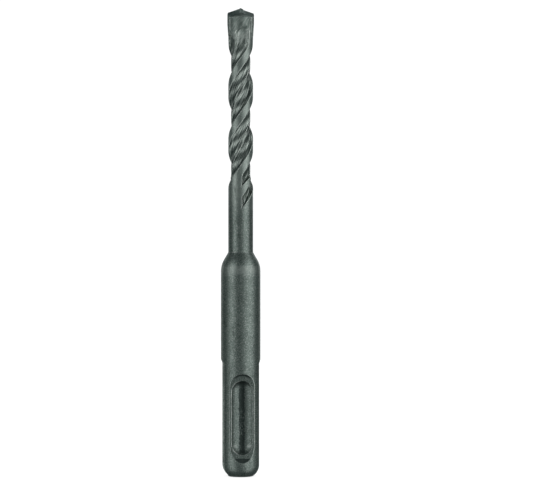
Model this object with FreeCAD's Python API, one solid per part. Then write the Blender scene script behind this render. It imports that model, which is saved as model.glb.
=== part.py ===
import FreeCAD, Part

import math
import os

from FreeCAD import Vector

os.makedirs("parts", exist_ok=True)

# A masonry drill bit with a grooved hammer shank. It stands on the end of its shank, with the origin at the
# middle of that end, Z along the axis up to the tip, and the two ball grooves facing -Y and +Y.
# All sizes are in millimetres and all angles in degrees.

overall_length = 118.5

# Shank, with a round from its flat end face up to its full diameter
shank_diameter = 10.0
collar_top = 51.9
end_face_diameter = 6.0
end_round_height = 3.1

# Cone between the shank and the bar, with its angle measured from the axis
shoulder_angle = 30.0
shoulder_height = 4.75

# Bar: a plain neck, then the flutes, which wind up to the head and run straight through it
bar_diameter = 6.3
neck_length = 10.95
rib_diameter = 4.90
flute_lead = 27.14
head_length = 9.5
helix_blend = 3.0

# Section of the fluted bar: angles from the middle of a main land, anticlockwise seen from the tip
land_angle = 38.0
rib_middle_angle = 88.75
rib_angle = 20.5
floor_diameter = 4.0
leading_floor_angle = 53.0
trailing_floor_angle = 128.0
land_wall_foot_diameter = 5.10
land_wall_foot_angle = 6.5
rib_wall_foot_diameter = 4.54
rib_wall_foot_angle = 3.0
steep_wall_foot_diameter = 4.40
steep_wall_foot_angle = 13.0

# Lower ends of the flutes: how much higher the leading one starts, the length over which each grows to its
# full depth, and the lengths over which its two sides open away from its floor line
leading_flute_start = 5.5
rib_start_height = 1.1
run_in_length = 3.6
rib_run_in_length = 2.2
near_side_opening = 3.4
leading_far_side_opening = 4.6
trailing_far_side_opening = 10.0

# Upper ends of the flutes: how far below the point each one ends, and the length over which it closes
leading_flute_end = 6.1
trailing_flute_end = 4.1
run_out_length = 2.4
leading_end_width = 0.55
trailing_end_width = 0.4

# Grooves for the two locking balls: a milled flat with a deeper round channel
ball_diameter = 7.0
ball_channel_depth_radius = 2.6
ball_channel_bottom = 5.1
ball_channel_top = 25.0
ball_flat_radius = 3.9
ball_flat_bottom = 8.8
ball_flat_top = 22.6
lower_wheel_radius = 13.3
upper_wheel_radius = 6.1

# Driving grooves, open at the end of the shank
drive_floor_radius = 3.15
drive_floor_width = 3.0
drive_flank_angle = 30.0
drive_groove_top = 29.75
drive_ramp_length = 3.8

# Carbide tip: a plate with two cutting edges and a small point, and its seat in the head
tip_diameter = 6.78
tip_foot_diameter = 6.36
tip_height = 7.2
tip_straight_height = 4.1
tip_thickness = 1.9
tip_turn = -5.8
land_lag = 26.3
cutting_edge_angle = 19.0
relief_angle = 32.0
point_angle = 33.0
point_width = 1.24
point_depth = 1.0
point_foot_spread = 0.2
braze_thickness = 0.1
steel_top_angle = 20.0
steel_set_back = 1.1

# Values that follow from the ones above
shank_radius = shank_diameter / 2
bar_radius = bar_diameter / 2
rib_radius = rib_diameter / 2
floor_radius = floor_diameter / 2
tip_radius = tip_diameter / 2
neck_bottom = collar_top + shoulder_height
helix_top = overall_length - head_length
tip_seat_height = overall_length - tip_height
slot_bottom = tip_seat_height - braze_thickness
trailing_flute_bottom = neck_bottom + neck_length
leading_flute_bottom = trailing_flute_bottom + leading_flute_start
cutter_overlap = 1.0
end_clearance = 0.05
full_lift = bar_radius - floor_radius + end_clearance

# How the flute spaces are lofted
steps_per_turn = 20
run_in_steps = 6
least_opening = 0.08
cutter_reach = bar_radius + cutter_overlap
shank_cutter_reach = shank_radius + cutter_overlap
land_edge = land_angle / 2
next_land = 180 - land_edge
rib_start = rib_middle_angle - rib_angle / 2
rib_end = rib_middle_angle + rib_angle / 2

axis_foot = Vector(0, 0, 0)
axis_up = Vector(0, 0, 1)


def tangent(angle):
    return math.tan(math.radians(angle))


def polar(radius, angle, z=0.0):
    """Point at a radius and an angle about the axis."""
    turn = math.radians(angle)
    return Vector(radius * math.cos(turn), radius * math.sin(turn), z)


def line(start, end):
    return Part.LineSegment(start, end).toShape()


def arc(start, middle, end):
    return Part.Arc(start, middle, end).toShape()


def bowed(start, middle, end):
    """Shallow curve through three points."""
    curve = Part.BezierCurve()
    curve.setPoles([start, middle * 2 - (start + end) / 2, end])
    return curve.toShape()


def face(edges):
    return Part.Face(Part.Wire(edges))


def polygon(points):
    return face([line(a, b) for a, b in zip(points, points[1:] + points[:1])])


def turned(edges):
    """Solid turned about the axis from a closed outline in the XZ plane."""
    return face(edges).revolve(axis_foot, axis_up, 360)


def about_axis(shape, angle):
    return shape.rotated(axis_foot, axis_up, angle)


def both_sides(shape):
    """The shape and its twin half a turn round the axis."""
    return [shape, about_axis(shape, 180)]


def arc_middle(centre, radius, angle):
    """Middle of an arc of a turned outline that starts level with its centre and turns by an angle."""
    half = math.radians(angle / 2)
    return centre + Vector(radius * math.cos(half), 0, radius * math.sin(half))


# Heights at the tip: the eaves of the point, the outer ends of the cutting edges and the edge of the steel
point_eaves_height = overall_length - point_width / 2 * tangent(point_angle)
corner_height = point_eaves_height - (tip_radius - point_width / 2) * tangent(cutting_edge_angle)
steel_rim_height = corner_height - steel_set_back


def blank():
    """Shank, shoulder, neck and fluted bar before anything is cut into them."""
    end_radius = end_face_diameter / 2
    end_step = shank_radius - end_radius
    end_round = (end_step ** 2 + end_round_height ** 2) / (2 * end_step)
    end_sweep = math.degrees(math.asin(end_round_height / end_round))
    end_centre = Vector(shank_radius - end_round, 0, end_round_height)

    cone_height = (shank_radius - bar_radius) / tangent(shoulder_angle)
    blend_radius = (shoulder_height - cone_height) / tangent(shoulder_angle / 2)
    blend_centre = Vector(shank_radius - blend_radius, 0, collar_top)
    blend_end = polar(blend_radius, shoulder_angle)
    blend_end = blend_centre + Vector(blend_end.x, 0, blend_end.y)

    outline = [
        Vector(shank_radius, 0, end_round_height),
        Vector(shank_radius, 0, collar_top),
        blend_end,
        Vector(bar_radius, 0, neck_bottom),
        Vector(bar_radius, 0, steel_rim_height),
        Vector(0, 0, steel_rim_height + bar_radius * tangent(steel_top_angle)),
        Vector(0, 0, 0),
        Vector(end_radius, 0, 0),
    ]
    edges = [line(outline[0], outline[1])]
    blend_middle = arc_middle(blend_centre, blend_radius, shoulder_angle)
    edges.append(arc(outline[1], blend_middle, outline[2]))
    edges += [line(a, b) for a, b in zip(outline[2:], outline[3:])]
    edges.append(arc(outline[-1], arc_middle(end_centre, end_round, -end_sweep), outline[0]))
    return turned(edges)


def bar_turn(z):
    """Turn of the flutes at a height: they wind up the bar and run straight through the head."""
    rate = 360.0 / flute_lead
    below = helix_top + helix_blend / 2 - z
    if below >= helix_blend:
        wound = rate * (below - helix_blend / 2)
    else:
        wound = rate * max(0.0, below) ** 2 / (2 * helix_blend)
    return tip_turn - land_lag - wound


def wall_end(foot, edge):
    """Where a flute wall, drawn from its foot through its edge, leaves the bar: radius and angle."""
    start, rim = polar(*foot), polar(*edge)
    way = (rim - start).normalize()
    along = start.dot(way)
    reach = math.sqrt(along ** 2 - start.Length ** 2 + cutter_reach ** 2) - along
    end = start + way * reach
    return cutter_reach, math.degrees(math.atan2(end.y, end.x))


def flute_outline(near_foot, near_edge, floor_angle, far_foot, far_edge):
    """Section of a flute: radius and angle of its wall ends, feet and floor, and of the middle outside."""
    return [
        wall_end(near_foot, near_edge),
        near_foot,
        (floor_radius, floor_angle),
        far_foot,
        wall_end(far_foot, far_edge),
        (cutter_reach, floor_angle),
    ]


def eased(share):
    """A share that starts and ends gently, held between nothing and all."""
    share = min(1.0, max(0.0, share))
    return share ** 2 * (3 - 2 * share)


def lofted_up(outline, middle_angle, bottom, top, near_opening, far_opening, top_angle, top_width,
              run_in, lift):
    """Space of a flute, lofted up the bar: it opens and deepens from its lower end and closes at its top."""
    heights = [bottom + run_in * i / run_in_steps for i in range(run_in_steps)]
    run_out_start = top - run_out_length
    full_length = run_out_start - bottom - run_in
    steps = math.ceil(full_length / flute_lead * steps_per_turn)
    heights += [bottom + run_in + full_length * i / steps for i in range(steps)]
    heights += [run_out_start + run_out_length * i / run_in_steps for i in range(run_in_steps + 1)]
    wires = []
    for z in heights:
        near = least_opening + (1 - least_opening) * eased((z - bottom) / near_opening)
        far = least_opening + (1 - least_opening) * eased((z - bottom) / far_opening)
        shallow = max(0.0, 1 - (z - bottom) / run_in) ** 2
        closed = eased((z - run_out_start) / run_out_length)
        points = []
        for radius, angle in outline:
            opened = middle_angle + (angle - middle_angle) * (far if angle > middle_angle else near)
            opened = top_angle + (opened - top_angle) * (1 - (1 - top_width) * closed) if closed else opened
            points.append(polar(radius + lift * max(shallow, closed), opened + bar_turn(z), z))
        wires.append(Part.Wire([
            line(points[0], points[1]),
            bowed(points[1], points[2], points[3]),
            line(points[3], points[4]),
            bowed(points[4], points[5], points[0]),
        ]))
    return Part.makeLoft(wires, True, False)


def leading_flute():
    """The flute ahead of the rib."""
    outline = flute_outline(
        (land_wall_foot_diameter / 2, land_edge + land_wall_foot_angle), (bar_radius, land_edge),
        leading_floor_angle,
        (rib_wall_foot_diameter / 2, rib_start - rib_wall_foot_angle), (rib_radius, rib_start))
    return lofted_up(outline, leading_floor_angle, leading_flute_bottom,
                     overall_length - leading_flute_end, near_side_opening, leading_far_side_opening,
                     leading_floor_angle, leading_end_width, run_in_length, full_lift)


def trailing_flute():
    """The flute behind the rib, up to the steep wall of the next land."""
    steep_foot_angle = next_land - steep_wall_foot_angle
    outline = flute_outline(
        (rib_wall_foot_diameter / 2, rib_end + rib_wall_foot_angle), (rib_radius, rib_end),
        trailing_floor_angle,
        (steep_wall_foot_diameter / 2, steep_foot_angle), (bar_radius, next_land))
    return lofted_up(outline, trailing_floor_angle, trailing_flute_bottom,
                     overall_length - trailing_flute_end, near_side_opening, trailing_far_side_opening,
                     steep_foot_angle, trailing_end_width, run_in_length, full_lift)


def space_over_rib():
    """What is cut off the top of the rib, wide enough to reach into the flutes on both sides."""
    outline = [
        (cutter_reach, leading_floor_angle),
        (rib_radius, leading_floor_angle),
        (rib_radius, rib_middle_angle),
        (rib_radius, trailing_floor_angle),
        (cutter_reach, trailing_floor_angle),
        (cutter_reach, rib_middle_angle),
    ]
    return lofted_up(outline, rib_middle_angle, leading_flute_bottom + rib_start_height,
                     overall_length - leading_flute_end, near_side_opening, near_side_opening,
                     leading_floor_angle, leading_end_width, rib_run_in_length,
                     bar_radius - rib_radius + end_clearance)


def ball_groove():
    """Closed groove facing +X: a flat with a wheel's run-out at each end, and the channel of the ball."""
    over = shank_cutter_reach
    rise = over - ball_flat_radius

    def run_out(radius, sweep_share=1.0):
        angle = math.acos(1 - rise / radius) * sweep_share
        return radius * math.sin(angle), radius * (1 - math.cos(angle))

    low, high = run_out(lower_wheel_radius), run_out(upper_wheel_radius)
    low_mid, high_mid = run_out(lower_wheel_radius, 0.5), run_out(upper_wheel_radius, 0.5)
    y = -shank_radius
    floor_low = Vector(ball_flat_radius, y, ball_flat_bottom)
    floor_high = Vector(ball_flat_radius, y, ball_flat_top)
    out_low = Vector(over, y, ball_flat_bottom - low[0])
    out_high = Vector(over, y, ball_flat_top + high[0])
    flat = face([
        line(floor_low, floor_high),
        arc(floor_high, floor_high + Vector(high_mid[1], 0, high_mid[0]), out_high),
        line(out_high, out_low),
        arc(out_low, floor_low + Vector(low_mid[1], 0, -low_mid[0]), floor_low),
    ]).extrude(Vector(0, shank_diameter, 0))

    radius = ball_diameter / 2
    middle = ball_channel_depth_radius + radius
    low_ball = Vector(middle, 0, ball_channel_bottom + radius)
    high_ball = Vector(middle, 0, ball_channel_top - radius)
    channel = Part.makeCylinder(radius, high_ball.z - low_ball.z, low_ball)
    channel = channel.fuse([Part.makeSphere(radius, low_ball), Part.makeSphere(radius, high_ball)])
    return flat.fuse(channel.removeSplitter())


def drive_groove():
    """Groove facing +X with sloping flanks, open at the end of the shank, with a ramp at its upper end."""
    over = shank_cutter_reach
    floor_half = drive_floor_width / 2
    over_half = floor_half + (over - drive_floor_radius) * tangent(drive_flank_angle)
    start = -cutter_overlap
    section = polygon([
        Vector(drive_floor_radius, -floor_half, start),
        Vector(over, -over_half, start),
        Vector(over, over_half, start),
        Vector(drive_floor_radius, floor_half, start),
    ])
    bar = section.extrude(Vector(0, 0, drive_groove_top + drive_ramp_length - start))
    ramp_slope = (shank_radius - drive_floor_radius) / drive_ramp_length
    ramp_bottom = drive_groove_top - drive_ramp_length
    ramp_end = ramp_bottom + (over - drive_floor_radius) / ramp_slope
    y = -shank_radius
    side = polygon([
        Vector(drive_floor_radius - cutter_overlap, y, start),
        Vector(over, y, start),
        Vector(over, y, ramp_end),
        Vector(drive_floor_radius, y, ramp_bottom),
        Vector(drive_floor_radius - cutter_overlap, y, ramp_bottom),
    ]).extrude(Vector(0, shank_diameter, 0))
    return bar.common(side)


def slab(thickness, bottom):
    """Upright slab across the axis, standing in the direction of the tip, up to the height of the point."""
    box = Part.makeBox(2 * shank_radius, thickness, overall_length - bottom,
                       Vector(-shank_radius, -thickness / 2, bottom))
    return about_axis(box, tip_turn)


def slot_space():
    """Saw slot in the head, as wide as the tip and the filler on both of its faces."""
    return slab(tip_thickness + 2 * braze_thickness, slot_bottom)


def unslotted_steel():
    body = blank()
    grooves = both_sides(leading_flute()) + both_sides(trailing_flute()) + both_sides(space_over_rib())
    grooves += both_sides(about_axis(ball_groove(), 90)) + both_sides(drive_groove())
    for groove in grooves:
        body = body.cut(groove)
    return body


def tip_envelope():
    """Turned limit of the tip: parallel at the cutting corners and tapered to its foot."""
    straight_bottom = overall_length - tip_straight_height
    outline = [
        Vector(0, 0, tip_seat_height),
        Vector(tip_foot_diameter / 2, 0, tip_seat_height),
        Vector(tip_radius, 0, straight_bottom),
        Vector(tip_radius, 0, overall_length),
        Vector(0, 0, overall_length),
    ]
    return turned([line(a, b) for a, b in zip(outline, outline[1:] + outline[:1])])


def solid_between(lower, upper):
    """Flat-faced solid between two outlines with the same number of corners."""
    count = len(lower)
    sides = []
    for i in range(count):
        j = (i + 1) % count
        sides.append(polygon([lower[i], lower[j], upper[j], upper[i]]))
    return Part.Solid(Part.Shell([polygon(lower), polygon(upper)] + sides))


def rectangle(half_x, half_y, z):
    corners = ((-half_x, -half_y), (half_x, -half_y), (half_x, half_y), (-half_x, half_y))
    return [Vector(x, y, z) for x, y in corners]


def plate_half():
    """Half of the plate on +X: its cutting edge is at +Y, and the relief falls from there towards -Y."""
    half = tip_thickness / 2
    reach = shank_radius
    middle_height = corner_height + tip_radius * tangent(cutting_edge_angle)

    def at(x, y):
        fall = x * tangent(cutting_edge_angle) + (half - y) * tangent(relief_angle)
        return Vector(x, y, middle_height - fall)

    corners = ((0, -half), (reach, -half), (reach, half), (0, half))
    foot = [Vector(x, y, tip_seat_height) for x, y in corners]
    return solid_between(foot, [at(corner.x, corner.y) for corner in foot])


def centring_point():
    """Four-sided point on a short foot that widens downward into the plate."""
    half_x, half_y = point_width / 2, point_depth / 2
    foot_height = point_eaves_height - tip_thickness * tangent(relief_angle)
    foot = solid_between(rectangle(half_x + point_foot_spread, half_y + point_foot_spread, foot_height),
                         rectangle(half_x, half_y, point_eaves_height))
    eaves = rectangle(half_x, half_y, point_eaves_height)
    apex = Vector(0, 0, overall_length)
    slopes = [polygon([eaves[i], eaves[(i + 1) % 4], apex]) for i in range(4)]
    return foot.fuse(Part.Solid(Part.Shell([polygon(eaves)] + slopes)))


def carbide_tip():
    plate = both_sides(plate_half())
    tip = plate[0].fuse([plate[1], centring_point()]).removeSplitter()
    return about_axis(tip, tip_turn).common(tip_envelope())


head = unslotted_steel()
nodes = {
    "steel_body": head.cut(slot_space()),
    "carbide_tip": carbide_tip(),
    "braze_seam": head.common(slot_space()).cut(slab(tip_thickness, tip_seat_height)),
}
for name, shape in nodes.items():
    shape.exportStep(os.path.join("parts", name + ".step"))
    box = shape.BoundBox
    print(name, len(shape.Solids), "solids", len(shape.Faces), "faces", round(shape.Volume, 3), "mm3",
          "valid" if shape.isValid() else "invalid",
          [round(v, 3) for v in (box.XMin, box.YMin, box.ZMin, box.XMax, box.YMax, box.ZMax)])
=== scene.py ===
"""Studio view of a masonry drill bit with a grooved hammer shank and a brazed carbide tip.

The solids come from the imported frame. This script dresses them in their finishes, stands them on a plain pale
studio floor and sets the lights and the camera. All lengths are in metres and all angles in degrees.
"""

from __future__ import annotations

import functools
import logging
import math
from dataclasses import dataclass, field
from enum import Enum

import bpy
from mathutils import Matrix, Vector


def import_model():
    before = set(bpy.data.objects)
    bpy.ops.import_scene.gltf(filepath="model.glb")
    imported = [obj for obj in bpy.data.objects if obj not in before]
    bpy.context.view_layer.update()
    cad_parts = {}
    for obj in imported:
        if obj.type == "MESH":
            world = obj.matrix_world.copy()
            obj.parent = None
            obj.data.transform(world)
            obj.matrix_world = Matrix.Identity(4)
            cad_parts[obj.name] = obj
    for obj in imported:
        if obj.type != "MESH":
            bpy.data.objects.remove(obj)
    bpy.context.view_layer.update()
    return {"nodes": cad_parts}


log = logging.getLogger("drill_bit")

MM = 0.001
EDGE_SAMPLES = 8

Triple = tuple[float, float, float]
Socket = bpy.types.NodeSocket


class Part(Enum):
    """Solids of the bit, by the names they have in the frame."""

    STEEL_BODY = "steel_body"
    CARBIDE_TIP = "carbide_tip"
    BRAZE_SEAM = "braze_seam"


class Step(Enum):
    """Steps of arithmetic that the finishes use, by their names in Blender."""

    ADD = "ADD"
    LESS = "SUBTRACT"
    TIMES = "MULTIPLY"
    TIMES_ADD = "MULTIPLY_ADD"
    LARGER = "MAXIMUM"
    ABSOLUTE = "ABSOLUTE"
    SIGN = "SIGN"
    ROOT = "SQRT"
    SINE = "SINE"
    COSINE = "COSINE"


@dataclass(frozen=True)
class BitSizes:
    """Sizes of the bit, from which the places of its finishes are worked out.

    Args:
        shank: Radius of the shank.
        end_round: Height of the round on the end of the shank.
        groove_bottom: Height under which the lower end of a ball groove is black.
        groove_top: Height above which the upper end of a ball groove is round.
        flat_floor: Distance from the middle plane to the flat floor of a ball groove.
        channel: Distance from the axis under which the floor of a ball channel is black.
        channel_top: Height at which the black streak in a channel ends.
        ball_bottom: Height down to which the locking balls wear the streak.
        ball_stop: Height at which the locking balls stop in their channels.
        collar_top: Height at which the round of the shoulder begins.
        flute: Distance from the axis under which a face of the bar is a ground one.
        flute_bottom: Height above which the faces of the flutes are all ground.
        flute_lead: Height in which the flutes turn once.
        head_bottom: Height above which the whole head is scaled.
        head_side: Distance from the middle of the head at which the painted highlight on its sides begins.
        head_left: Distance from the middle of the head to the left edge of a face.
        head_right: Distance from the middle of the head to the right edge of a face.
        head_turn: Turn of the head about the axis.
        eaves: Height up to which the painted shade on the ground slopes of the tip reaches.
    """

    shank: float = 5.0 * MM
    end_round: float = 3.1 * MM
    groove_bottom: float = 4.7 * MM
    groove_top: float = 24.7 * MM
    flat_floor: float = 3.9 * MM
    channel: float = 2.79 * MM
    channel_top: float = 24.4 * MM
    ball_bottom: float = 9.5 * MM
    ball_stop: float = 7.8 * MM
    collar_top: float = 51.9 * MM
    flute: float = 3.08 * MM
    flute_bottom: float = 67.6 * MM
    flute_lead: float = 27.14 * MM
    head_bottom: float = 112.5 * MM
    head_side: float = 2.3 * MM
    head_left: float = 2.84 * MM
    head_right: float = 2.23 * MM
    head_turn: float = -5.8
    eaves: float = 117.4 * MM


BIT = BitSizes()


@dataclass(frozen=True)
class Ramp:
    """Smooth way from one range of numbers to another, held at both ends.

    Args:
        low: Start of the range that goes in.
        high: End of that range, which may lie under its start.
        out_low: Result at the start.
        out_high: Result at the end.
    """

    low: float
    high: float
    out_low: float = 0.0
    out_high: float = 1.0


@dataclass(frozen=True)
class Band:
    """Narrow range of a number, with soft edges.

    Args:
        middle: Middle of the range, where the result is largest.
        reach: Distance from the middle at which the result is 0.
        strength: Result in the middle.
    """

    middle: float
    reach: float
    strength: float = 1.0


@dataclass(frozen=True)
class Cloud:
    """Cloudy variation of a surface.

    Args:
        size: Rough width of one cloud.
        detail: Number of finer layers.
        roughness: Strength of the finer layers.
        squeeze: Factors along X, Y and Z: a cloud is longer where the factor is small.
        turn: Angles about X, Y and Z by which the clouds are turned.
    """

    size: float
    detail: float = 3.0
    roughness: float = 0.60
    squeeze: Triple = (1.0, 1.0, 1.0)
    turn: Triple = (0.0, 0.0, 0.0)


@dataclass(frozen=True)
class Spot:
    """Where on the bit a finish is read, as sockets of one material.

    Args:
        place: Place on the bit, which moves with it.
        x: Place along X.
        y: Place along Y.
        z: Height.
        radius: Distance from the axis.
    """

    place: Socket
    x: Socket
    y: Socket
    z: Socket
    radius: Socket


@dataclass
class Shop:
    """Small helper that wires the nodes of one material.

    Args:
        name: Name of the material that is made.
    """

    name: str
    material: bpy.types.Material = field(init=False)
    shader: bpy.types.Node = field(init=False)

    def __post_init__(self) -> None:
        """Makes the empty material with its shader and its output."""
        self.material = bpy.data.materials.new(self.name)
        self.material.use_nodes = True
        self.material.node_tree.nodes.clear()
        self.shader = self.node("ShaderNodeBsdfPrincipled")
        output = self.node("ShaderNodeOutputMaterial")
        self.link(self.shader.outputs["BSDF"], output.inputs["Surface"])

    def node(self, kind: str, **settings: object) -> bpy.types.Node:
        """Adds a node.

        Args:
            kind: Blender's name for the type of node.
            settings: Properties of the node to set.

        Returns:
            The new node.
        """
        made = self.material.node_tree.nodes.new(kind)
        for key, value in settings.items():
            setattr(made, key, value)
        return made

    def link(self, source: Socket, target: Socket) -> None:
        """Joins an output to an input."""
        self.material.node_tree.links.new(source, target)

    def feed(self, target: Socket, value: Socket | float | tuple[float, ...]) -> None:
        """Gives an input its value.

        Args:
            target: Input socket.
            value: A socket to link from, or a plain value to set.
        """
        if isinstance(value, Socket):
            self.link(value, target)
        else:
            target.default_value = value

    def work(self, step: Step, *values: Socket | float) -> Socket:
        """Adds one step of arithmetic.

        Args:
            step: What is done.
            values: Numbers or sockets that it is done to.

        Returns:
            The result.
        """
        made = self.node("ShaderNodeMath", operation=step.value)
        for socket, value in zip(made.inputs, values):
            self.feed(socket, value)
        return made.outputs["Value"]

    def times(self, *factors: Socket | float) -> Socket:
        """Multiplies any number of factors."""
        return functools.reduce(functools.partial(self.work, Step.TIMES), factors)

    def largest(self, *values: Socket | float) -> Socket:
        """Takes the largest of any number of values."""
        return functools.reduce(functools.partial(self.work, Step.LARGER), values)

    def ramp(self, value: Socket, way: Ramp) -> Socket:
        """Maps a number smoothly from one range to another.

        Args:
            value: Number to map.
            way: The two ranges.

        Returns:
            The mapped number.
        """
        made = self.node("ShaderNodeMapRange", interpolation_type="SMOOTHSTEP")
        for socket, number in zip(made.inputs, (value, way.low, way.high, way.out_low, way.out_high)):
            self.feed(socket, number)
        return made.outputs["Result"]

    def between(self, value: Socket, rise: Ramp, fall: Ramp) -> Socket:
        """Maps a number by two ramps and multiplies the results."""
        return self.times(self.ramp(value, rise), self.ramp(value, fall))

    def band(self, value: Socket, band: Band) -> Socket:
        """Picks out a narrow range of a number."""
        away = self.work(Step.ABSOLUTE, self.work(Step.LESS, value, band.middle))
        return self.ramp(away, Ramp(band.reach, 0.0, 0.0, band.strength))

    def place(self) -> Socket:
        """Place on the object, which moves with it."""
        return self.node("ShaderNodeTexCoord").outputs["Object"]

    def spot(self) -> Spot:
        """Place on the object with its parts, and its distance from the axis.

        Returns:
            The spot.
        """
        place = self.place()
        split = self.node("ShaderNodeSeparateXYZ")
        self.link(place, split.inputs["Vector"])
        x, y, z = split.outputs
        radius = self.work(Step.ROOT, self.work(Step.ADD, self.times(x, x), self.times(y, y)))
        return Spot(place, x, y, z, radius)

    def noise(self, coordinates: Socket, cloud: Cloud) -> Socket:
        """Cloudy variation from 0 to 1.

        Args:
            coordinates: Where it is read.
            cloud: Its size and its layers.

        Returns:
            The variation.
        """
        mapping = self.node("ShaderNodeMapping")
        self.link(coordinates, mapping.inputs["Vector"])
        mapping.inputs["Scale"].default_value = cloud.squeeze
        mapping.inputs["Rotation"].default_value = [math.radians(angle) for angle in cloud.turn]
        made = self.node("ShaderNodeTexNoise")
        self.link(mapping.outputs["Vector"], made.inputs["Vector"])
        made.inputs["Scale"].default_value = 1.0 / cloud.size
        made.inputs["Detail"].default_value = cloud.detail
        made.inputs["Roughness"].default_value = cloud.roughness
        return made.outputs["Fac"]

    def mixed(self, share: Socket, first: Socket | Triple, second: Socket | Triple) -> Socket:
        """Lays a second colour over a first one.

        Args:
            share: How much of the second colour shows.
            first: Colour or socket below.
            second: Colour or socket above.

        Returns:
            The mixed colour.
        """
        made = self.node("ShaderNodeMix", data_type="RGBA")
        self.link(share, made.inputs["Factor"])
        for name, value in (("A", first), ("B", second)):
            socket = next(entry for entry in made.inputs if entry.name == name and entry.type == "RGBA")
            self.feed(socket, (*value, 1.0) if isinstance(value, tuple) else value)
        return next(entry for entry in made.outputs if entry.type == "RGBA")

    def bumped(self, height: Socket, distance: float, below: Socket | None = None) -> Socket:
        """Tilts the surface by a height map.

        Args:
            height: Height from 0 to 1.
            distance: Height of one.
            below: Normal of a coarser bump that this one lies on.

        Returns:
            The tilted normal.
        """
        made = self.node("ShaderNodeBump")
        made.inputs["Strength"].default_value = 1.0
        made.inputs["Distance"].default_value = distance
        self.link(height, made.inputs["Height"])
        if below is not None:
            self.link(below, made.inputs["Normal"])
        return made.outputs["Normal"]

    def openness(self, reach: float) -> Socket:
        """How open the surface is: 1 on a ridge, and less in a corner.

        Args:
            reach: How far the nearest faces count.

        Returns:
            The openness.
        """
        made = self.node("ShaderNodeAmbientOcclusion", samples=EDGE_SAMPLES, only_local=True)
        made.inputs["Distance"].default_value = reach
        return made.outputs["AO"]

    def metal(self, colour: Socket, roughness: Socket, normal: Socket) -> bpy.types.Material:
        """Finishes the material as bare metal.

        Args:
            colour: Colour of the metal.
            roughness: Roughness of its surface.
            normal: Direction that the surface faces.

        Returns:
            The material.
        """
        self.link(colour, self.shader.inputs["Base Color"])
        self.shader.inputs["Metallic"].default_value = 1.0
        self.link(roughness, self.shader.inputs["Roughness"])
        self.link(normal, self.shader.inputs["Normal"])
        return self.material


@dataclass(frozen=True)
class SpiralMarks:
    """Marks that run up along the flutes.

    Args:
        cloud: Width of one mark, and its layers.
        squeeze: Width of a mark as a share of its height.
    """

    cloud: Cloud
    squeeze: float

    def made(self, shop: Shop, spot: Spot) -> Socket:
        """Makes the marks, from 0 to 1, in coordinates that are unwound along the flutes.

        Args:
            shop: Material that they are made in.
            spot: Where they are read.

        Returns:
            The marks.
        """
        turn = shop.times(spot.z, -2 * math.pi / BIT.flute_lead)
        sine = shop.work(Step.SINE, turn)
        cosine = shop.work(Step.COSINE, turn)
        along = shop.work(Step.LESS, shop.times(spot.x, cosine), shop.times(spot.y, sine))
        across = shop.work(Step.ADD, shop.times(spot.x, sine), shop.times(spot.y, cosine))
        unwound = shop.node("ShaderNodeCombineXYZ")
        for socket, value in zip(unwound.inputs, (along, across, shop.times(spot.z, self.squeeze))):
            shop.link(value, socket)
        return shop.noise(unwound.outputs["Vector"], self.cloud)


@dataclass(frozen=True)
class RubbedEdgeHighlights:
    """Outer edges, rubbed and given a painted highlight, which is stronger here and there.

    Args:
        radius: Radius to which the edges are worn.
        sharp: How far the worn face is turned from the flat one, as a cosine, where the rub and highlight show.
        outer: How open the surface is where the rub and highlight show.
        patches: Clouds in which the rub and highlight are stronger.
        patchy: How strong the rub and highlight are in them.
    """

    radius: float = 0.21 * MM
    sharp: Ramp = Ramp(0.998, 0.93)
    outer: Ramp = Ramp(0.60, 0.80)
    patches: Cloud = Cloud(0.8 * MM)
    patchy: Ramp = Ramp(0.35, 0.60, 0.45, 1.0)

    def rounded(self, shop: Shop) -> Socket:
        """Normal of the surface with its edges rounded.

        Args:
            shop: Material that it is made in.

        Returns:
            The normal.
        """
        made = shop.node("ShaderNodeBevel", samples=EDGE_SAMPLES)
        made.inputs["Radius"].default_value = self.radius
        return made.outputs["Normal"]

    def made(self, shop: Shop, spot: Spot, rounded: Socket) -> Socket:
        """Finds the rub and painted highlight, from 0 to 1.

        Args:
            shop: Material that it is made in.
            spot: Where it is read.
            rounded: Normal of the surface with its edges rounded.

        Returns:
            The rub.
        """
        turned = shop.node("ShaderNodeVectorMath", operation="DOT_PRODUCT")
        flat = shop.node("ShaderNodeNewGeometry").outputs["Normal"]
        for socket, normal in zip(turned.inputs, (rounded, flat)):
            shop.link(normal, socket)
        edges = shop.ramp(turned.outputs["Value"], self.sharp)
        outer = shop.ramp(shop.openness(2 * self.radius), self.outer)
        patchy = shop.ramp(shop.noise(spot.place, self.patches), self.patchy)
        return shop.times(edges, outer, patchy)


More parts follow.
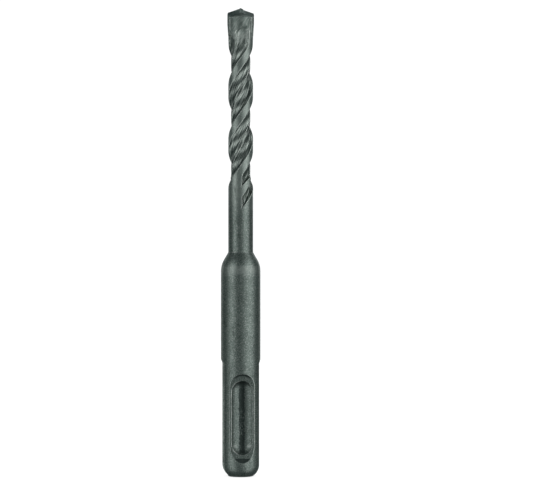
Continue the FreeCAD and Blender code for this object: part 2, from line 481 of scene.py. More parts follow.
@dataclass(frozen=True)
class HeadScaleAndPaintedLight:
    """Head: scale from the brazing, painted shade on the upper face, a painted sheen below it and painted
    highlights on the sides and beside the tip.

    Args:
        scale: Heights over which the scale sets in.
        dark: Heights over which the painted shade on the upper face sets in.
        light: Heights of the painted sheen, where the face is a little brighter.
        side: Distances from the middle over which the painted highlight on the sides sets in.
        side_height: Heights over which they do so.
        left_edge: Place of the painted highlight on the left edge of a face, from its middle.
        left_height: Heights of that edge.
        right_edge: Place of the painted highlight on the right edge of a face, from its middle.
        right_height: Heights of that edge.
        patches: Clouds in which the painted highlight is stronger.
        patchy: How strong the painted highlight is in them.
        edge_share: Share of the painted highlight on those two edges that follows the patches.
        bare_height: Heights over which the rub and painted highlight are taken off the other edges.
        bare_middle: Distances from the middle over which this is done.
        bare_share: Share of the rub and highlight that is taken off.
    """

    scale: Ramp = Ramp(BIT.head_bottom - 4.0 * MM, BIT.head_bottom)
    dark: Ramp = Ramp(BIT.head_bottom, BIT.head_bottom + 1.0 * MM, 0.0, 0.55)
    light: Band = Band(BIT.head_bottom - 1.2 * MM, 2.0 * MM, 0.14)
    side: Ramp = Ramp(BIT.head_side, BIT.head_side + 0.5 * MM)
    side_height: Ramp = Ramp(BIT.head_bottom - 0.8 * MM, BIT.head_bottom + 0.4 * MM)
    left_edge: Band = Band(-BIT.head_left, 0.15 * MM)
    left_height: Band = Band(BIT.head_bottom + 1.4 * MM, 3.6 * MM)
    right_edge: Band = Band(BIT.head_right, 0.15 * MM)
    right_height: Band = Band(BIT.head_bottom - 0.4 * MM, 4.0 * MM)
    patches: Cloud = Cloud(0.6 * MM, 4.0)
    patchy: Ramp = Ramp(0.35, 0.60, 0.30, 0.85)
    edge_share: float = 0.6
    bare_height: Ramp = Ramp(BIT.head_bottom, BIT.head_bottom + 0.5 * MM)
    bare_middle: Ramp = Ramp(BIT.head_side - 0.2 * MM, BIT.head_side - 0.5 * MM)
    bare_share: float = 0.85

    def rub_and_highlight(self, shop: Shop, spot: Spot) -> Socket:
        """Painted highlight on the sides of the head and on the edges of its faces, from 0 to 1.

        Args:
            shop: Material that it is made in.
            spot: Where it is read.

        Returns:
            The rub.
        """
        turn = math.radians(BIT.head_turn)
        sideways = shop.work(Step.TIMES_ADD, spot.x, math.cos(turn), shop.times(spot.y, math.sin(turn)))
        side = shop.ramp(shop.work(Step.ABSOLUTE, sideways), self.side)
        patchy = shop.ramp(shop.noise(spot.place, self.patches), self.patchy)
        wide = shop.times(side, shop.ramp(spot.z, self.side_height), patchy)
        on_face = shop.times(sideways, shop.work(Step.SIGN, spot.y), -1.0)
        left = shop.times(shop.band(on_face, self.left_edge), shop.band(spot.z, self.left_height))
        right = shop.times(shop.band(on_face, self.right_edge), shop.band(spot.z, self.right_height))
        strength = shop.work(Step.TIMES_ADD, patchy, self.edge_share, 1.0 - self.edge_share)
        return shop.largest(wide, shop.times(shop.largest(left, right), strength))

    def edge_highlight_kept(self, shop: Shop, spot: Spot) -> Socket:
        """Share of the rub and painted highlight on the edges that is kept: little on the head's faces, all
        elsewhere.

        Args:
            shop: Material that it is made in.
            spot: Where it is read.

        Returns:
            The share, from 0 to 1.
        """
        middle = shop.ramp(shop.work(Step.ABSOLUTE, spot.x), self.bare_middle)
        bare = shop.times(shop.ramp(spot.z, self.bare_height), middle)
        return shop.work(Step.TIMES_ADD, bare, -self.bare_share, 1.0)


@dataclass(frozen=True)
class ShoulderAndStopHighlights:
    """Painted highlights on the round of the shoulder and where the locking balls stop.

    Args:
        shoulder_rise: Heights over which the painted highlight of the shoulder sets in.
        shoulder_fall: Heights over which it ends.
        stop_rise: Heights over which the painted highlight where the balls stop sets in.
        stop_fall: Heights over which it ends.
        floor_rise: Distances from the axis over which the painted highlight where the balls stop sets in.
        floor_fall: Distances from the axis over which it ends.
        patches: Clouds in which the painted highlight is stronger.
        patchy: How strong it is in them.
    """

    shoulder_rise: Ramp = Ramp(BIT.collar_top - 1.8 * MM, BIT.collar_top + 0.3 * MM, 0.0, 0.18)
    shoulder_fall: Ramp = Ramp(BIT.collar_top + 1.9 * MM, BIT.collar_top + 0.8 * MM)
    stop_rise: Ramp = Ramp(BIT.ball_stop - 0.6 * MM, BIT.ball_stop, 0.0, 0.22)
    stop_fall: Ramp = Ramp(BIT.ball_stop + 0.7 * MM, BIT.ball_stop)
    floor_rise: Ramp = Ramp(0.62 * BIT.shank, 0.67 * BIT.shank)
    floor_fall: Ramp = Ramp(0.90 * BIT.shank, 0.80 * BIT.shank)
    patches: Cloud = Cloud(0.7 * MM)
    patchy: Ramp = Ramp(0.3, 0.6, 0.6, 1.0)

    def made(self, shop: Shop, spot: Spot) -> Socket:
        """Finds the painted highlight, from 0 to 1.

        Args:
            shop: Material that it is made in.
            spot: Where it is read.

        Returns:
            The polish.
        """
        shoulder = shop.between(spot.z, self.shoulder_rise, self.shoulder_fall)
        stop = shop.between(spot.z, self.stop_rise, self.stop_fall)
        floor = shop.between(spot.radius, self.floor_rise, self.floor_fall)
        patchy = shop.ramp(shop.noise(spot.place, self.patches), self.patchy)
        return shop.times(shop.largest(shoulder, shop.times(stop, floor)), patchy)


@dataclass(frozen=True)
class GrooveStreakAndShade:
    """Ball grooves: a ragged black streak on the floor, with painted shade at the ends, on the walls and round
    the upper end.

    Args:
        ragged: Clouds that make the edge of the streak ragged.
        raggedness: How far they move that edge.
        deep: Distances over which the streak sets in.
        streak_top: Heights over which it ends.
        flecks: Flecks in which it is worn off.
        worn: How far it is worn off in them.
        worn_above: Heights over which this wear grows weaker upwards.
        worn_below: Heights over which it grows weaker downwards.
        sunk: Distances from the axis over which the groove begins.
        low_end: Heights of the painted shade that makes the lower end black.
        walls: Heights over which the painted shade on the walls ends.
        rim_depth: Distances from the axis of the painted shadow that outlines the upper end.
        rim_height: Heights over which this outline sets in.
        channel: Distances from the middle plane over which the round channel begins.
        crown: Heights over which the painted shade at the upper end of the channel sets in.
        line: Distances from the middle line over which the streak runs on into the ends of the channel.
        tail_rise: Heights over which its lower end sets in.
        tail_fall: Heights over which it meets the streak.
        tip: Heights over which its upper end sets in.
        ends_top: Heights over which all the dark ends stop.
        facing: Distances from the middle plane over which the groove is met.
        above: Heights over which the soot sets in, above the round of the end.
    """

    ragged: Cloud = Cloud(2.2 * MM, 6.0, 0.70)
    raggedness: float = 0.55 * MM
    deep: Ramp = Ramp(0.0, 0.03 * MM, 0.0, 0.9)
    streak_top: Ramp = Ramp(BIT.channel_top, BIT.channel_top - 1.0 * MM)
    flecks: Cloud = Cloud(0.22 * MM, 2.0, 0.50, (1.0, 1.0, 0.3))
    worn: Ramp = Ramp(0.50, 0.66)
    worn_above: Ramp = Ramp(BIT.channel_top - 6.4 * MM, BIT.channel_top - 9.4 * MM, 0.1, 0.7)
    worn_below: Ramp = Ramp(BIT.ball_bottom, BIT.ball_bottom + 1.5 * MM, 0.2, 1.0)
    sunk: Ramp = Ramp(BIT.shank - 0.03 * MM, BIT.shank - 0.12 * MM)
    low_end: Ramp = Ramp(BIT.groove_bottom + 0.2 * MM, BIT.groove_bottom, 0.0, 0.85)
    walls: Ramp = Ramp(BIT.channel_top + 2.0 * MM, BIT.channel_top + 1.0 * MM, 0.0, 0.18)
    rim_depth: Ramp = Ramp(BIT.shank - 0.40 * MM, BIT.shank - 0.25 * MM)
    rim_height: Ramp = Ramp(BIT.groove_top, BIT.groove_top + 0.5 * MM, 0.0, 0.8)
    channel: Ramp = Ramp(BIT.flat_floor - 0.02 * MM, BIT.flat_floor - 0.14 * MM)
    crown: Ramp = Ramp(BIT.channel_top - 2.6 * MM, BIT.channel_top - 0.8 * MM, 0.24, 0.58)
    line: Ramp = Ramp(0.95 * MM, 0.55 * MM, 0.0, 0.8)
    tail_rise: Ramp = Ramp(BIT.groove_bottom + 1.0 * MM, BIT.groove_bottom + 1.7 * MM)
    tail_fall: Ramp = Ramp(BIT.ball_bottom, BIT.ball_bottom - 1.5 * MM)
    tip: Ramp = Ramp(BIT.channel_top - 3.4 * MM, BIT.channel_top - 2.4 * MM)
    ends_top: Ramp = Ramp(BIT.groove_top + 4.0 * MM, BIT.groove_top + 3.0 * MM)
    facing: Ramp = Ramp(0.38 * BIT.shank, 0.44 * BIT.shank)
    above: Ramp = Ramp(BIT.end_round + 0.05 * MM, BIT.end_round + 0.30 * MM)

    def made(self, shop: Shop, spot: Spot) -> Socket:
        """Finds how black the streak and the painted shade make the surface, from 0 to 1.

        Args:
            shop: Material that it is made in.
            spot: Where it is read.

        Returns:
            The blackness.
        """
        depth = shop.work(Step.ABSOLUTE, spot.y)
        black = shop.largest(self.streak(shop, spot), self.ends(shop, spot, depth))
        return shop.times(black, shop.ramp(depth, self.facing), shop.ramp(spot.z, self.above))

    def streak(self, shop: Shop, spot: Spot) -> Socket:
        """Ragged streak on the floor of the channel, worn off in flecks.

        Args:
            shop: Material that it is made in.
            spot: Where it is read.

        Returns:
            Its blackness, from 0 to 1.
        """
        ragged = shop.work(Step.LESS, shop.noise(spot.place, self.ragged), 0.5)
        edge = shop.work(Step.TIMES_ADD, ragged, self.raggedness, BIT.channel)
        deep = shop.ramp(shop.work(Step.LESS, edge, spot.radius), self.deep)
        flecks = shop.ramp(shop.noise(spot.place, self.flecks), self.worn)
        worn = shop.times(flecks, shop.between(spot.z, self.worn_above, self.worn_below))
        return shop.times(deep, shop.ramp(spot.z, self.streak_top), shop.work(Step.LESS, 1.0, worn))

    def ends(self, shop: Shop, spot: Spot, depth: Socket) -> Socket:
        """Painted shade: black lower end, darker walls, dark outline above and dark ends of the channel, into
        which the streak runs on.

        Args:
            shop: Material that they are made in.
            spot: Where they are read.
            depth: Distance from the middle plane.

        Returns:
            Their blackness, from 0 to 1.
        """
        # Painted shade at the lower end, on the walls, round the upper end and in the upper end of the channel.
        low_end = shop.ramp(spot.z, self.low_end)
        walls = shop.ramp(spot.z, self.walls)
        rim = shop.times(shop.ramp(spot.radius, self.rim_depth), shop.ramp(spot.z, self.rim_height))
        tail = shop.between(spot.z, self.tail_rise, self.tail_fall)
        run_on = shop.largest(tail, shop.ramp(spot.z, self.tip))
        line = shop.times(shop.ramp(shop.work(Step.ABSOLUTE, spot.x), self.line), run_on)
        inner = shop.largest(shop.ramp(spot.z, self.crown), line)
        channel = shop.times(shop.ramp(depth, self.channel), inner)
        darkest = shop.largest(low_end, walls, rim, channel)
        return shop.times(shop.ramp(spot.radius, self.sunk), darkest, shop.ramp(spot.z, self.ends_top))


@dataclass(frozen=True)
class BlastedSteel:
    """Grey steel, blasted to a fine grain outside and ground along the spiral in the flutes.

    Args:
        colour: Colour of the blasted face.
        ground_colour: Colour of the ground flutes.
        scale_colour: Colour of the head, which the brazing has scaled.
        worn_and_highlight_colour: Colour of the edges that are rubbed bright and of the bright specks, and of
            the painted highlights on the edges, on the head and where the bit is held.
        soot_and_shade_colour: Colour of the stains and of the soot in the clouds, pits and marks, of the black
            streak in the ball grooves, and of the painted shade in the grooves, in hollows and in corners.
        flute_radius: Distances from the axis over which a face of the bar is a ground one.
        flute_height: Heights over which the flutes begin.
        land: Heights over which the lands between the flutes grow bright.
        clouds: Large clouds of the blasted face.
        cloud_shade: How much soot lies in them.
        pits: Grain of the blasting.
        bright_pits: How bright its raised specks are.
        dark_pits: How much soot lies in its pits.
        pit_depth: Depth of one blasting pit.
        swell: Gentle unevenness under the grain.
        swell_depth: Depth of this unevenness.
        stains: Stains that run down the bit.
        stain_shade: How much soot lies in them.
        marks: Fine grinding marks in the flutes.
        mark_shade: How much soot lies in them.
        mark_depth: Depth of one mark.
        blotches: Broad marks on the head.
        dark_blotches: How far the scale is gone in them.
        bright_blotches: How bright the head is beside them.
        hollow_reach: How far the nearest faces count in a hollow.
        hollow_painted_shade: How much painted shade lies in a hollow.
        corner_reach: How far the nearest faces count in a corner.
        corner_painted_shade: How much painted shade lies in a corner.
        roughness: Roughness of the blasted face, by its grain.
        ground_roughness: Roughness of the ground flutes, by their marks.
        scale_roughness: How much rougher the scaled head is.
        edges: Rub of the edges, with a painted highlight along them.
        head: Scale of the head, with painted shade, a painted sheen and painted highlights.
        painted_highlights: Painted highlights on the shoulder and where the balls stop.
        groove_streak_and_shade: Black streak and painted shade in the ball grooves.
    """

    colour: Triple = (0.202, 0.243, 0.223)
    ground_colour: Triple = (0.43, 0.48, 0.445)
    scale_colour: Triple = (0.37, 0.415, 0.388)
    worn_and_highlight_colour: Triple = (0.92, 0.97, 0.92)
    soot_and_shade_colour: Triple = (0.030, 0.042, 0.039)
    flute_radius: Ramp = Ramp(BIT.flute, BIT.flute - 0.12 * MM)
    flute_height: Ramp = Ramp(BIT.flute_bottom - 1.0 * MM, BIT.flute_bottom)
    land: Ramp = Ramp(BIT.flute_bottom - 2.5 * MM, BIT.flute_bottom + 4.5 * MM, 0.0, 0.5)
    clouds: Cloud = Cloud(3.5 * MM, 4.0)
    cloud_shade: Ramp = Ramp(0.35, 0.70, 0.0, 0.18)
    pits: Cloud = Cloud(0.28 * MM, 3.0, 0.65)
    bright_pits: Ramp = Ramp(0.50, 0.72, 0.0, 0.36)
    dark_pits: Ramp = Ramp(0.46, 0.30, 0.0, 0.64)
    pit_depth: float = 0.008 * MM
    swell: Cloud = Cloud(0.9 * MM, 3.0, 0.55)
    swell_depth: float = 0.0096 * MM
    stains: Cloud = Cloud(1.2 * MM, 5.0, 0.65, (1.0, 1.0, 0.35))
    stain_shade: Ramp = Ramp(0.56, 0.78, 0.0, 0.55)
    marks: SpiralMarks = SpiralMarks(Cloud(0.18 * MM, 4.0, 0.65), 0.05)
    mark_shade: Ramp = Ramp(0.41, 0.58, 0.0, 0.93)
    mark_depth: float = 0.012 * MM
    blotches: SpiralMarks = SpiralMarks(Cloud(0.55 * MM, 4.0, 0.65), 0.30)
    dark_blotches: Ramp = Ramp(0.42, 0.58)
    bright_blotches: Ramp = Ramp(0.44, 0.34, 0.0, 0.5)
    hollow_reach: float = 1.6 * MM
    hollow_painted_shade: Ramp = Ramp(0.72, 0.34, 0.0, 0.72)
    corner_reach: float = 0.5 * MM
    corner_painted_shade: Ramp = Ramp(0.84, 0.56, 0.0, 0.90)
    roughness: Ramp = Ramp(0.3, 0.7, 0.50, 0.38)
    ground_roughness: Ramp = Ramp(0.3, 0.7, 0.30, 0.46)
    scale_roughness: float = 0.14
    edges: RubbedEdgeHighlights = RubbedEdgeHighlights()
    head: HeadScaleAndPaintedLight = HeadScaleAndPaintedLight()
    painted_highlights: ShoulderAndStopHighlights = ShoulderAndStopHighlights()
    groove_streak_and_shade: GrooveStreakAndShade = GrooveStreakAndShade()

    def made(self) -> bpy.types.Material:
        """Makes the finish.

        Returns:
            The material.
        """
        shop = Shop("blasted_steel")
        spot = shop.spot()
        pits = shop.noise(spot.place, self.pits)
        marks = self.marks.made(shop, spot)
        ground = shop.times(shop.ramp(spot.radius, self.flute_radius), shop.ramp(spot.z, self.flute_height))
        scaled = shop.ramp(spot.z, self.head.scale)
        rounded = self.edges.rounded(shop)

        flute = shop.mixed(shop.ramp(marks, self.mark_shade), self.ground_colour, self.soot_and_shade_colour)
        face = shop.mixed(ground, self.blasted(shop, spot, pits), flute)
        face = shop.mixed(scaled, face, self.scaled(shop, spot))
        # Stains, the black streak of the ball grooves, and painted shade in the grooves, hollows and corners.
        face = self.stained_and_shaded(shop, spot, face)
        # Rub and painted highlight along the outer edges, mostly taken off the faces of the head.
        rub_and_highlight = shop.times(self.edges.made(shop, spot, rounded), self.head.edge_highlight_kept(shop, spot))
        face = shop.mixed(rub_and_highlight, face, self.worn_and_highlight_colour)
        # Painted highlights on the round of the shoulder and where the balls stop.
        face = shop.mixed(self.painted_highlights.made(shop, spot), face, self.worn_and_highlight_colour)

        blasted_rough = shop.ramp(pits, self.roughness)
        rougher = shop.work(Step.LESS, shop.ramp(marks, self.ground_roughness), blasted_rough)
        rough = shop.work(Step.TIMES_ADD, ground, rougher, blasted_rough)
        rough = shop.work(Step.TIMES_ADD, scaled, self.scale_roughness, rough)

        normal = shop.bumped(shop.noise(spot.place, self.swell), self.swell_depth, rounded)
        normal = shop.bumped(shop.times(marks, ground), self.mark_depth, normal)
        normal = shop.bumped(pits, self.pit_depth, normal)
        return shop.metal(face, rough, normal)

    def blasted(self, shop: Shop, spot: Spot, pits: Socket) -> Socket:
        """Colour of the blasted faces, which is brighter on the lands between the flutes.

        Args:
            shop: Material that it is made in.
            spot: Where it is read.
            pits: Grain of the blasting.

        Returns:
            The colour.
        """
        clouds = shop.ramp(shop.noise(spot.place, self.clouds), self.cloud_shade)
        face = shop.mixed(clouds, self.colour, self.soot_and_shade_colour)
        face = shop.mixed(shop.ramp(pits, self.bright_pits), face, self.worn_and_highlight_colour)
        face = shop.mixed(shop.ramp(pits, self.dark_pits), face, self.soot_and_shade_colour)
        return shop.mixed(shop.ramp(spot.z, self.land), face, self.ground_colour)

    def scaled(self, shop: Shop, spot: Spot) -> Socket:
        """Colour of the scaled head, with its blotches, its painted shade, its painted sheen and its painted
        highlights.

        Args:
            shop: Material that it is made in.
            spot: Where it is read.

        Returns:
            The colour.
        """
        blotches = self.blotches.made(shop, spot)
        face = shop.mixed(shop.ramp(blotches, self.dark_blotches), self.scale_colour, self.colour)
        face = shop.mixed(shop.ramp(blotches, self.bright_blotches), face, self.worn_and_highlight_colour)
        # Painted shade on the upper face, a painted sheen below it and painted highlights on the sides and
        # edges.
        face = shop.mixed(shop.ramp(spot.z, self.head.dark), face, self.colour)
        face = shop.mixed(shop.band(spot.z, self.head.light), face, self.worn_and_highlight_colour)
        return shop.mixed(self.head.rub_and_highlight(shop, spot), face, self.worn_and_highlight_colour)

    def stained_and_shaded(self, shop: Shop, spot: Spot, face: Socket) -> Socket:
        """Lays stains over a face, the black streak and painted shade of the ball grooves, and painted shade in
        hollows and in corners.

        Args:
            shop: Material that they are made in.
            spot: Where they are read.
            face: Colour of the clean face.

        Returns:
            The colour.
        """
        stains = shop.ramp(shop.noise(spot.place, self.stains), self.stain_shade)
        face = shop.mixed(stains, face, self.soot_and_shade_colour)
        face = shop.mixed(self.groove_streak_and_shade.made(shop, spot), face, self.soot_and_shade_colour)
        # Painted shade: the face grows darker in hollows and corners, by how closed in they are.
        hollow = shop.ramp(shop.openness(self.hollow_reach), self.hollow_painted_shade)
        corner = shop.ramp(shop.openness(self.corner_reach), self.corner_painted_shade)
        return shop.mixed(shop.largest(hollow, corner), face, self.soot_and_shade_colour)


@dataclass(frozen=True)
class GroundCarbide:
    """Dark sintered carbide with the fine scratches of its last grinding.

    Args:
        colour: Colour of the ground face.
        dark_colour: Colour of the pores and the sooty patches, and of the painted shade on the ground slopes.
        scratch_colour: Colour of the scratches.
        lighter_colour: Lighter colour under the point.
        patches: Sooty patches.
        patch_shade: How dark they are.
        scratches: Scratches of the grinding.
        scratch_shade: How bright they are.
        scratch_depth: Depth of one scratch.
        grain: Grain of the carbide.
        grain_depth: Depth of the grain.
        roughness: Roughness of the face, by its grain.
        slope_top: Heights over which the painted shade on the slopes ends.
        slope_foot: Heights over which it sets in.
        lighter_middle: Distances from the middle of the lighter place.
        lighter_height: Heights of that place.
        lighter_share: How much of the lighter colour shows, less in the sooty patches.
    """

    colour: Triple = (0.28, 0.34, 0.315)
    dark_colour: Triple = (0.075, 0.10, 0.094)
    scratch_colour: Triple = (0.42, 0.45, 0.44)
    lighter_colour: Triple = (0.62, 0.68, 0.65)
    patches: Cloud = Cloud(0.9 * MM, 5.0)
    patch_shade: Ramp = Ramp(0.40, 0.68, 0.0, 0.75)
    scratches: Cloud = Cloud(0.1 * MM, 3.0, 0.60, (0.12, 1.0, 1.0), (0.0, 18.0, 0.0))
    scratch_shade: Ramp = Ramp(0.50, 0.72, 0.0, 0.30)
    scratch_depth: float = 0.004 * MM
    grain: Cloud = Cloud(0.09 * MM)
    grain_depth: float = 0.003 * MM
    roughness: Ramp = Ramp(0.3, 0.7, 0.34, 0.52)
    slope_top: Ramp = Ramp(BIT.eaves + 0.4 * MM, BIT.eaves)
    slope_foot: Ramp = Ramp(BIT.eaves - 1.3 * MM, BIT.eaves - 0.9 * MM, 0.0, 0.65)
    lighter_middle: Band = Band(0.3 * MM, 1.5 * MM)
    lighter_height: Band = Band(BIT.eaves + 0.1 * MM, 0.95 * MM)
    lighter_share: Ramp = Ramp(0.62, 0.40, 0.40, 0.65)

    def made(self) -> bpy.types.Material:
        """Makes the finish.

        Returns:
            The material.
        """
        shop = Shop("carbide")
        spot = shop.spot()
        patches = shop.noise(spot.place, self.patches)
        grain = shop.noise(spot.place, self.grain)
        scratches = shop.noise(spot.place, self.scratches)
        face = shop.mixed(shop.ramp(patches, self.patch_shade), self.colour, self.dark_colour)
        face = shop.mixed(shop.ramp(scratches, self.scratch_shade), face, self.scratch_colour)
        # Painted shade: the ground slopes under the eaves are darker.
        face = shop.mixed(shop.between(spot.z, self.slope_top, self.slope_foot), face, self.dark_colour)
        near = shop.times(shop.band(spot.x, self.lighter_middle), shop.band(spot.z, self.lighter_height))
        lighter_place = shop.times(near, shop.ramp(patches, self.lighter_share))
        face = shop.mixed(lighter_place, face, self.lighter_colour)
        scored = shop.bumped(scratches, self.scratch_depth)
        normal = shop.bumped(grain, self.grain_depth, scored)
        return shop.metal(face, shop.ramp(grain, self.roughness), normal)


@dataclass(frozen=True)
class BrazingFiller:
    """Dull brassy filler, run into the joint and darkened by the flame.

    Args:
        colour: Colour of the clean filler.
        burnt_colour: Colour where the flame has darkened it.
        burns: Places that the flame has darkened.
        burn_shade: How dark they are.
        ripples: Ripples in which the filler has set.
        ripple_depth: Depth of one ripple.
        roughness: Roughness of the filler, by its ripples.
    """

    colour: Triple = (0.50, 0.46, 0.36)
    burnt_colour: Triple = (0.16, 0.15, 0.13)
    burns: Cloud = Cloud(0.8 * MM, 4.0)
    burn_shade: Ramp = Ramp(0.35, 0.65)
    ripples: Cloud = Cloud(0.15 * MM, 2.0, 0.50)
    ripple_depth: float = 0.012 * MM
    roughness: Ramp = Ramp(0.3, 0.7, 0.37, 0.57)

    def made(self) -> bpy.types.Material:
        """Makes the finish.

        Returns:
            The material.
        """
        shop = Shop("braze")
        place = shop.place()
        ripples = shop.noise(place, self.ripples)
        burnt = shop.ramp(shop.noise(place, self.burns), self.burn_shade)
        face = shop.mixed(burnt, self.colour, self.burnt_colour)
        return shop.metal(face, shop.ramp(ripples, self.roughness), shop.bumped(ripples, self.ripple_depth))


@dataclass(frozen=True)
class StudioPaint:
    """Matt white paint of the studio, which glows a little, as a light table does.

    Args:
        name: Name of the material.
        colour: Colour of the paint.
        glow: How bright it is by itself, where white paper is 1.
        roughness: Roughness of the paint.
        roller: Marks of the paint roller.
        roller_shade: How strong they are.
        roller_share: Brightness of the paint in them, as a share.
    """

    name: str
    colour: Triple
    glow: float
    roughness: float = 0.8
    roller: Cloud = Cloud(6.0 * MM, 3.0, 0.50)
    roller_shade: Ramp = Ramp(0.3, 0.7)
    roller_share: float = 0.97

    def made(self) -> bpy.types.Material:
        """Makes the paint.

        Returns:
            The material.
        """
        shop = Shop(self.name)
        roller = shop.ramp(shop.noise(shop.place(), self.roller), self.roller_shade)
        darker = tuple(self.roller_share * share for share in self.colour)
        shop.link(shop.mixed(roller, self.colour, darker), shop.shader.inputs["Base Color"])
        shop.shader.inputs["Roughness"].default_value = self.roughness
        shop.shader.inputs["Specular IOR Level"].default_value = 0.0
        shop.shader.inputs["Emission Color"].default_value = (1.0, 1.0, 1.0, 1.0)
        shop.shader.inputs["Emission Strength"].default_value = self.glow
        return shop.material


@dataclass
class DrillBit:
    """The bit itself: the solids of the frame, each in its finish.

    Args:
        nodes: Solids of the frame, by name.
        steel: Finish of the body.
        carbide: Finish of the tip.
        braze: Finish of the joint round the tip.
    """

    nodes: dict[str, bpy.types.Object]
    steel: BlastedSteel = BlastedSteel()
    carbide: GroundCarbide = GroundCarbide()
    braze: BrazingFiller = BrazingFiller()

    def dress(self) -> None:
        """Gives each solid its finish."""
        finishes = {Part.STEEL_BODY: self.steel, Part.CARBIDE_TIP: self.carbide, Part.BRAZE_SEAM: self.braze}
        for part, finish in finishes.items():
            solid = self.nodes[part.value]
            solid.data.materials.clear()
            solid.data.materials.append(finish.made())
            log.info("%s: %d faces, finish %s", part.value, len(solid.data.polygons), type(finish).__name__)


@dataclass(frozen=True)
class Softbox:
    """One soft light that faces the bit.

    Args:
        name: Name of the light.
        azimuth: Its direction round the bit, from the camera's own.
        height: Height of its middle.
        distance: From the axis of the bit to the light.
        size: Its width and height.
        brightness: How bright its face is, where white paper is 1.
    """

    name: str
    azimuth: float
    height: float
    distance: float
    size: tuple[float, float]
    brightness: float

    def hang(self, camera_azimuth: float, facing_height: float) -> bpy.types.Object:
        """Hangs the light in the studio.

        Args:
            camera_azimuth: Direction of the camera round the bit.
            facing_height: Height on the axis of the bit that the light faces.

        Returns:
            The light.
        """
        width, height = self.size
        lamp = bpy.data.lights.new(self.name, "AREA")
        lamp.shape = "RECTANGLE"
        lamp.size = width
        lamp.size_y = height
        lamp.energy = self.brightness * math.pi * width * height
        softbox = bpy.data.objects.new(self.name, lamp)
        bpy.context.scene.collection.objects.link(softbox)
        turn = math.radians(self.azimuth + camera_azimuth)
        softbox.location = (self.distance * math.sin(turn), -self.distance * math.cos(turn), self.height)
        facing = Vector((0.0, 0.0, facing_height)) - softbox.location
        softbox.rotation_euler = facing.to_track_quat("-Z", "Y").to_euler()
        softbox.visible_camera = False
        return softbox


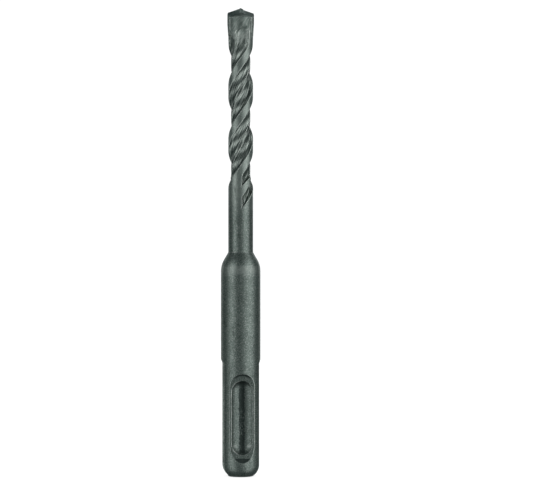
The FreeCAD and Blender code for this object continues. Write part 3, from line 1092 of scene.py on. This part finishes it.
@dataclass
class Studio:
    """Pale round floor under a pale dome, the soft lights and the camera.

    Args:
        floor_radius: Radius of the floor and of the dome.
        floor_sides: Number of straight sides that the round floor and dome are made of.
        dome_rises: Angle above the floor of each ring of the dome.
        floor_paint: Paint of the floor.
        dome_paint: Paint of the dome.
        ceiling_brightness: How bright the ceiling makes white paper on the floor.
        ceiling_spread: Angle over which the light of the ceiling comes.
        softboxes: Soft lights round the bit: at the camera's two sides, above, behind and in front.
        facing_height: Height on the axis of the bit that they all face.
        room_colour: Colour of the light in the dim room.
        room_brightness: How bright the dim room is, where white paper is 1.
        camera_distance: From the axis of the bit to the camera.
        camera_azimuth: Direction of the camera round the bit, from -Y towards +X.
        sensor_width: Width of the camera's sensor, in millimetres.
        sight: Nearest and farthest distance that the camera sees.
        picture_width: Width of the picture, in pixels.
        pixels_per_millimetre: Scale of the picture at the axis of the bit.
        axis_pixel: Column of the picture in which the axis of the bit stands.
        foot_pixel: Row of the picture in which the foot of the bit stands.
        middle_pixel: Column and row of the middle of the picture.
    """

    floor_radius: float = 5.0
    floor_sides: int = 96
    dome_rises: tuple[float, ...] = (0.0, 20.0, 40.0, 60.0, 80.0)
    floor_paint: StudioPaint = StudioPaint("floor_paint", (0.25, 0.25, 0.25), 0.80)
    dome_paint: StudioPaint = StudioPaint("dome_paint", (0.05, 0.05, 0.05), 1.05)
    ceiling_brightness: float = 1.0
    ceiling_spread: float = 110.0
    softboxes: tuple[Softbox, ...] = (
        Softbox("softbox_left", -54.0, 0.00, 0.55, (0.38, 1.20), 0.95),
        Softbox("softbox_right", 53.0, 0.00, 0.55, (0.58, 1.20), 1.02),
        Softbox("high_left", -52.0, 0.40, 0.50, (0.36, 0.22), 0.50),
        Softbox("high_right", 51.0, 0.40, 0.50, (0.42, 0.22), 0.60),
        Softbox("top_right", 82.0, 0.50, 0.42, (0.26, 0.26), 0.80),
        Softbox("front_fill", 4.0, 0.10, 0.90, (0.30, 1.00), 0.14),
        Softbox("top_back", 175.0, 0.66, 0.27, (0.40, 0.30), 0.55),
        Softbox("rim_left", -143.0, 0.12, 0.60, (0.30, 0.80), 0.45),
        Softbox("rim_right", 154.0, 0.12, 0.60, (0.30, 0.80), 0.75),
        Softbox("back_fill", 180.0, 0.00, 0.80, (0.36, 1.20), 0.50),
    )
    facing_height: float = 0.06
    room_colour: Triple = (0.80, 1.0, 1.0)
    room_brightness: float = 0.10
    camera_distance: float = 0.60
    camera_azimuth: float = -5.8
    sensor_width: float = 36.0
    sight: tuple[float, float] = (0.01, 20.0)
    picture_width: float = 540.0
    pixels_per_millimetre: float = 3.95
    axis_pixel: float = 240.7
    foot_pixel: float = 476.0
    middle_pixel: tuple[float, float] = (270.0, 240.0)

    def build_floor(self) -> bpy.types.Object:
        """Makes the round floor and the wide lamp over it.

        Returns:
            The floor.
        """
        floor = self.staged("studio_floor", (0.0,), self.floor_paint)
        lit = bpy.data.collections.new("lit_by_ceiling")
        lit.objects.link(floor)
        ceiling = bpy.data.lights.new("ceiling", "SUN")
        ceiling.energy = self.ceiling_brightness * math.pi
        ceiling.angle = math.radians(self.ceiling_spread)
        lamp = bpy.data.objects.new("ceiling", ceiling)
        bpy.context.scene.collection.objects.link(lamp)
        lamp.light_linking.receiver_collection = lit
        log.info("floor: %.1f m across", 2 * self.floor_radius)
        return floor

    def build_dome(self) -> bpy.types.Object:
        """Makes the dome over the floor, which only the camera sees.

        Returns:
            The dome.
        """
        dome = self.staged("studio_dome", self.dome_rises, self.dome_paint)
        dome.visible_diffuse = False
        log.info("dome: %d rings", len(self.dome_rises))
        return dome

    def staged(self, name: str, rises: tuple[float, ...], paint: StudioPaint) -> bpy.types.Object:
        """Makes a closed round surface: rings that rise as on a ball, and a flat cap on the last one.

        Args:
            name: Name of the surface.
            rises: Angle of each ring above the floor.
            paint: Its paint.

        Returns:
            The surface.
        """
        around = self.floor_sides
        points = []
        for rise in rises:
            radius = self.floor_radius * math.cos(math.radians(rise))
            height = self.floor_radius * math.sin(math.radians(rise))
            for step in range(around):
                turn = 2 * math.pi * step / around
                points.append((radius * math.cos(turn), radius * math.sin(turn), height))
        faces = []
        for low in range(0, len(points) - around, around):
            for step in range(around):
                after = (step + 1) % around
                faces.append((low + step, low + after, low + around + after, low + around + step))
        faces.append(tuple(range(len(points) - around, len(points))))
        mesh = bpy.data.meshes.new(name)
        mesh.from_pydata(points, [], faces)
        mesh.materials.append(paint.made())
        surface = bpy.data.objects.new(name, mesh)
        bpy.context.scene.collection.objects.link(surface)
        surface.visible_glossy = False
        surface.visible_shadow = False
        return surface

    def build_lights(self) -> None:
        """Hangs the softboxes round the bit and fills the room with a dim light."""
        for softbox in self.softboxes:
            softbox.hang(self.camera_azimuth, self.facing_height)
        room = bpy.data.worlds.new("room")
        room.use_nodes = True
        background = room.node_tree.nodes["Background"]
        background.inputs["Color"].default_value = (*self.room_colour, 1.0)
        background.inputs["Strength"].default_value = self.room_brightness
        bpy.context.scene.world = room
        log.info("lights: %d softboxes and the ceiling", len(self.softboxes))

    def build_camera(self) -> bpy.types.Object:
        """Sets the camera where the picture was taken from, and leaves its colours as they are.

        Returns:
            The camera.
        """
        scale = self.pixels_per_millimetre / MM
        middle_height = (self.foot_pixel - self.middle_pixel[1]) / scale
        sideways = (self.middle_pixel[0] - self.axis_pixel) / scale
        turn = math.radians(self.camera_azimuth) - math.atan2(sideways, self.camera_distance)
        back = Vector((math.sin(turn), -math.cos(turn), 0.0))
        right = Vector((math.cos(turn), math.sin(turn), 0.0))
        lens = bpy.data.cameras.new("camera")
        lens.sensor_width = self.sensor_width
        lens.lens = self.sensor_width * self.camera_distance * scale / self.picture_width
        lens.clip_start, lens.clip_end = self.sight
        camera = bpy.data.objects.new("camera", lens)
        bpy.context.scene.collection.objects.link(camera)
        camera.location = right * sideways + back * self.camera_distance + Vector((0.0, 0.0, middle_height))
        camera.rotation_euler = (-back).to_track_quat("-Z", "Y").to_euler()
        bpy.context.scene.camera = camera
        bpy.context.scene.view_settings.view_transform = "Standard"
        log.info("camera: %.0f mm lens", lens.lens)
        return camera


def main() -> None:
    """Builds the scene in order and reports each piece."""
    logging.basicConfig(level=logging.INFO, format="%(message)s")
    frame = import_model()
    DrillBit(frame["nodes"]).dress()
    studio = Studio()
    studio.build_floor()
    studio.build_dome()
    studio.build_lights()
    studio.build_camera()


if __name__ == "__main__":
    main()
